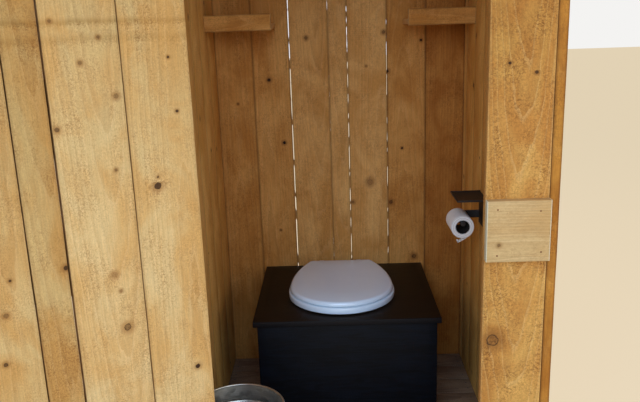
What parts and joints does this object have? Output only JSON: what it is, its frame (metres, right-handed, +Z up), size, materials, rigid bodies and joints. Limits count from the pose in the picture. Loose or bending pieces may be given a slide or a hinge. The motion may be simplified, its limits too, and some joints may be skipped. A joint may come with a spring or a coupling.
{
  "type": "outhouse",
  "caption": "Upright board outhouse with an open plank door, a dark seat box with ring and lid, corner shelves, a paper holder and a metal pail.",
  "frame": {"origin": "on the ground under the middle of the hut's outer walls, at the foot of the middle bearer", "axes": "+Z up, -Y out through the doorway, +X to the right seen from the front"},
  "size_m": [1.4771, 1.5879, 2.4165],
  "materials": {
    "rough_board": "rough-sawn, oiled by the sun to a warm yellow",
    "framing_timber": "planed construction timber",
    "bearer_timber": "rough, earth-stained",
    "floor_board": "rough-sawn, greyed by feet",
    "planed_board": "planed, pale",
    "roof_board": "rough-sawn, weathered",
    "dark_stained_wood": "brushed near-black stain",
    "seat_plastic": "white enamel, satin gloss",
    "black_steel": "matt black powder coat",
    "paper": "soft white paper",
    "galvanised_sheet": "galvanised, dull spangle"
  },
  "bodies": {
    "hut": {"bearers": "bearer_timber", "floor_rims": "framing_timber", "floor_joists": "framing_timber", "floor_boards": "floor_board", "door_sill": "rough_board", "back_wall": "rough_board", "left_wall": "rough_board", "right_wall": "rough_board", "front_board_left": "rough_board", "front_board_right": "rough_board", "front_header": "rough_board", "latch_block": "planed_board", "front_posts": "framing_timber", "header_rail": "framing_timber", "front_top_rail": "framing_timber", "back_top_rail": "framing_timber", "side_top_rails": "framing_timber", "roof_purlin": "framing_timber", "roof_boards": "roof_board", "roof_battens": "roof_board", "roof_fascia": "roof_board", "hinge_plates": "black_steel", "bench_top": "dark_stained_wood", "bench_front": "dark_stained_wood", "bench_sides": "dark_stained_wood", "bench_cleats": "dark_stained_wood", "seat_hinge": "seat_plastic", "shelf_boards": "rough_board", "shelf_lips": "rough_board", "paper_holder": "black_steel", "paper_tray": "black_steel", "pail": "galvanised_sheet"},
    "door": {"door_boards": "rough_board", "door_ledges": "planed_board", "door_braces": "planed_board", "door_knob": "planed_board", "hinge_straps": "black_steel"},
    "seat_ring": {"seat_ring": "seat_plastic"},
    "seat_lid": {"seat_lid": "seat_plastic"},
    "paper_roll": {"paper_roll": "paper"},
    "pail_handle": {"pail_handle": "galvanised_sheet"}
  },
  "joints": [
    {"name": "door_hinge", "type": "hinge", "parent": "hut", "child": "door", "pos_m": [-0.353, -0.5503, 1.145], "axis": [0, 0, -1], "range_deg": [-147, 18]},
    {"name": "ring_hinge", "type": "hinge", "parent": "hut", "child": "seat_ring", "pos_m": [-0.018, 0.465, 0.6258], "axis": [1, 0, 0], "range_deg": [-93, 0]},
    {"name": "lid_hinge", "type": "hinge", "parent": "seat_ring", "child": "seat_lid", "pos_m": [-0.018, 0.465, 0.6258], "axis": [-1, 0, 0], "range_deg": [0, 93]},
    {"name": "roll_spin", "type": "hinge", "parent": "hut", "child": "paper_roll", "pos_m": [0.379, 0.134, 0.8688], "axis": [0, 1, 0], "continuous": true},
    {"name": "handle_swing", "type": "hinge", "parent": "hut", "child": "pail_handle", "pos_m": [-0.3205, -0.35, 0.481], "axis": [-0.7314, -0.682, 0], "range_deg": [0, 180]}
  ]
}
